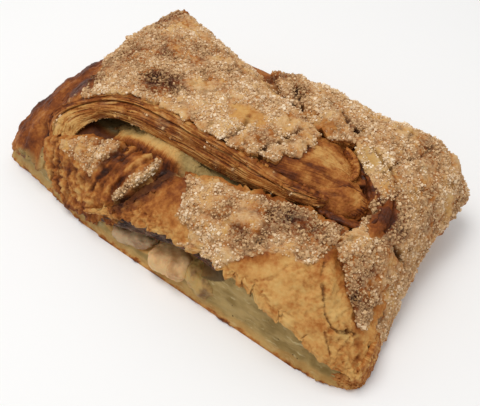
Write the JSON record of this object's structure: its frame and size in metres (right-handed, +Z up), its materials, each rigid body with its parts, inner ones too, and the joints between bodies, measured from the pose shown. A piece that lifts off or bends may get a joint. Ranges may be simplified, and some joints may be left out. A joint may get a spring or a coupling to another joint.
{
  "type": "puff pastry braid",
  "caption": "Portion of a puff pastry braid: sugared, flaky crust straps lapped over an apple filling, with an open slit on top and a flat base to rest on.",
  "frame": {"origin": "on the surface that the braid stands on, under the middle of its outline", "axes": "+X along the braid's length towards its sugared end, +Y away from the side with the open pocket, +Z up"},
  "size_m": [0.1402, 0.0772, 0.0402],
  "materials": {
    "crust": "baked puff pastry crust, dry and flaky, with coarse sugar",
    "filling": "soft cooked filling, moist",
    "apple": "baked apple, moist and translucent"
  },
  "bodies": {
    "root": {"pastry": "crust", "filling": "filling", "apple_piece_left": "apple", "apple_piece_middle": "apple", "apple_piece_right": "apple"}
  },
  "joints": []
}
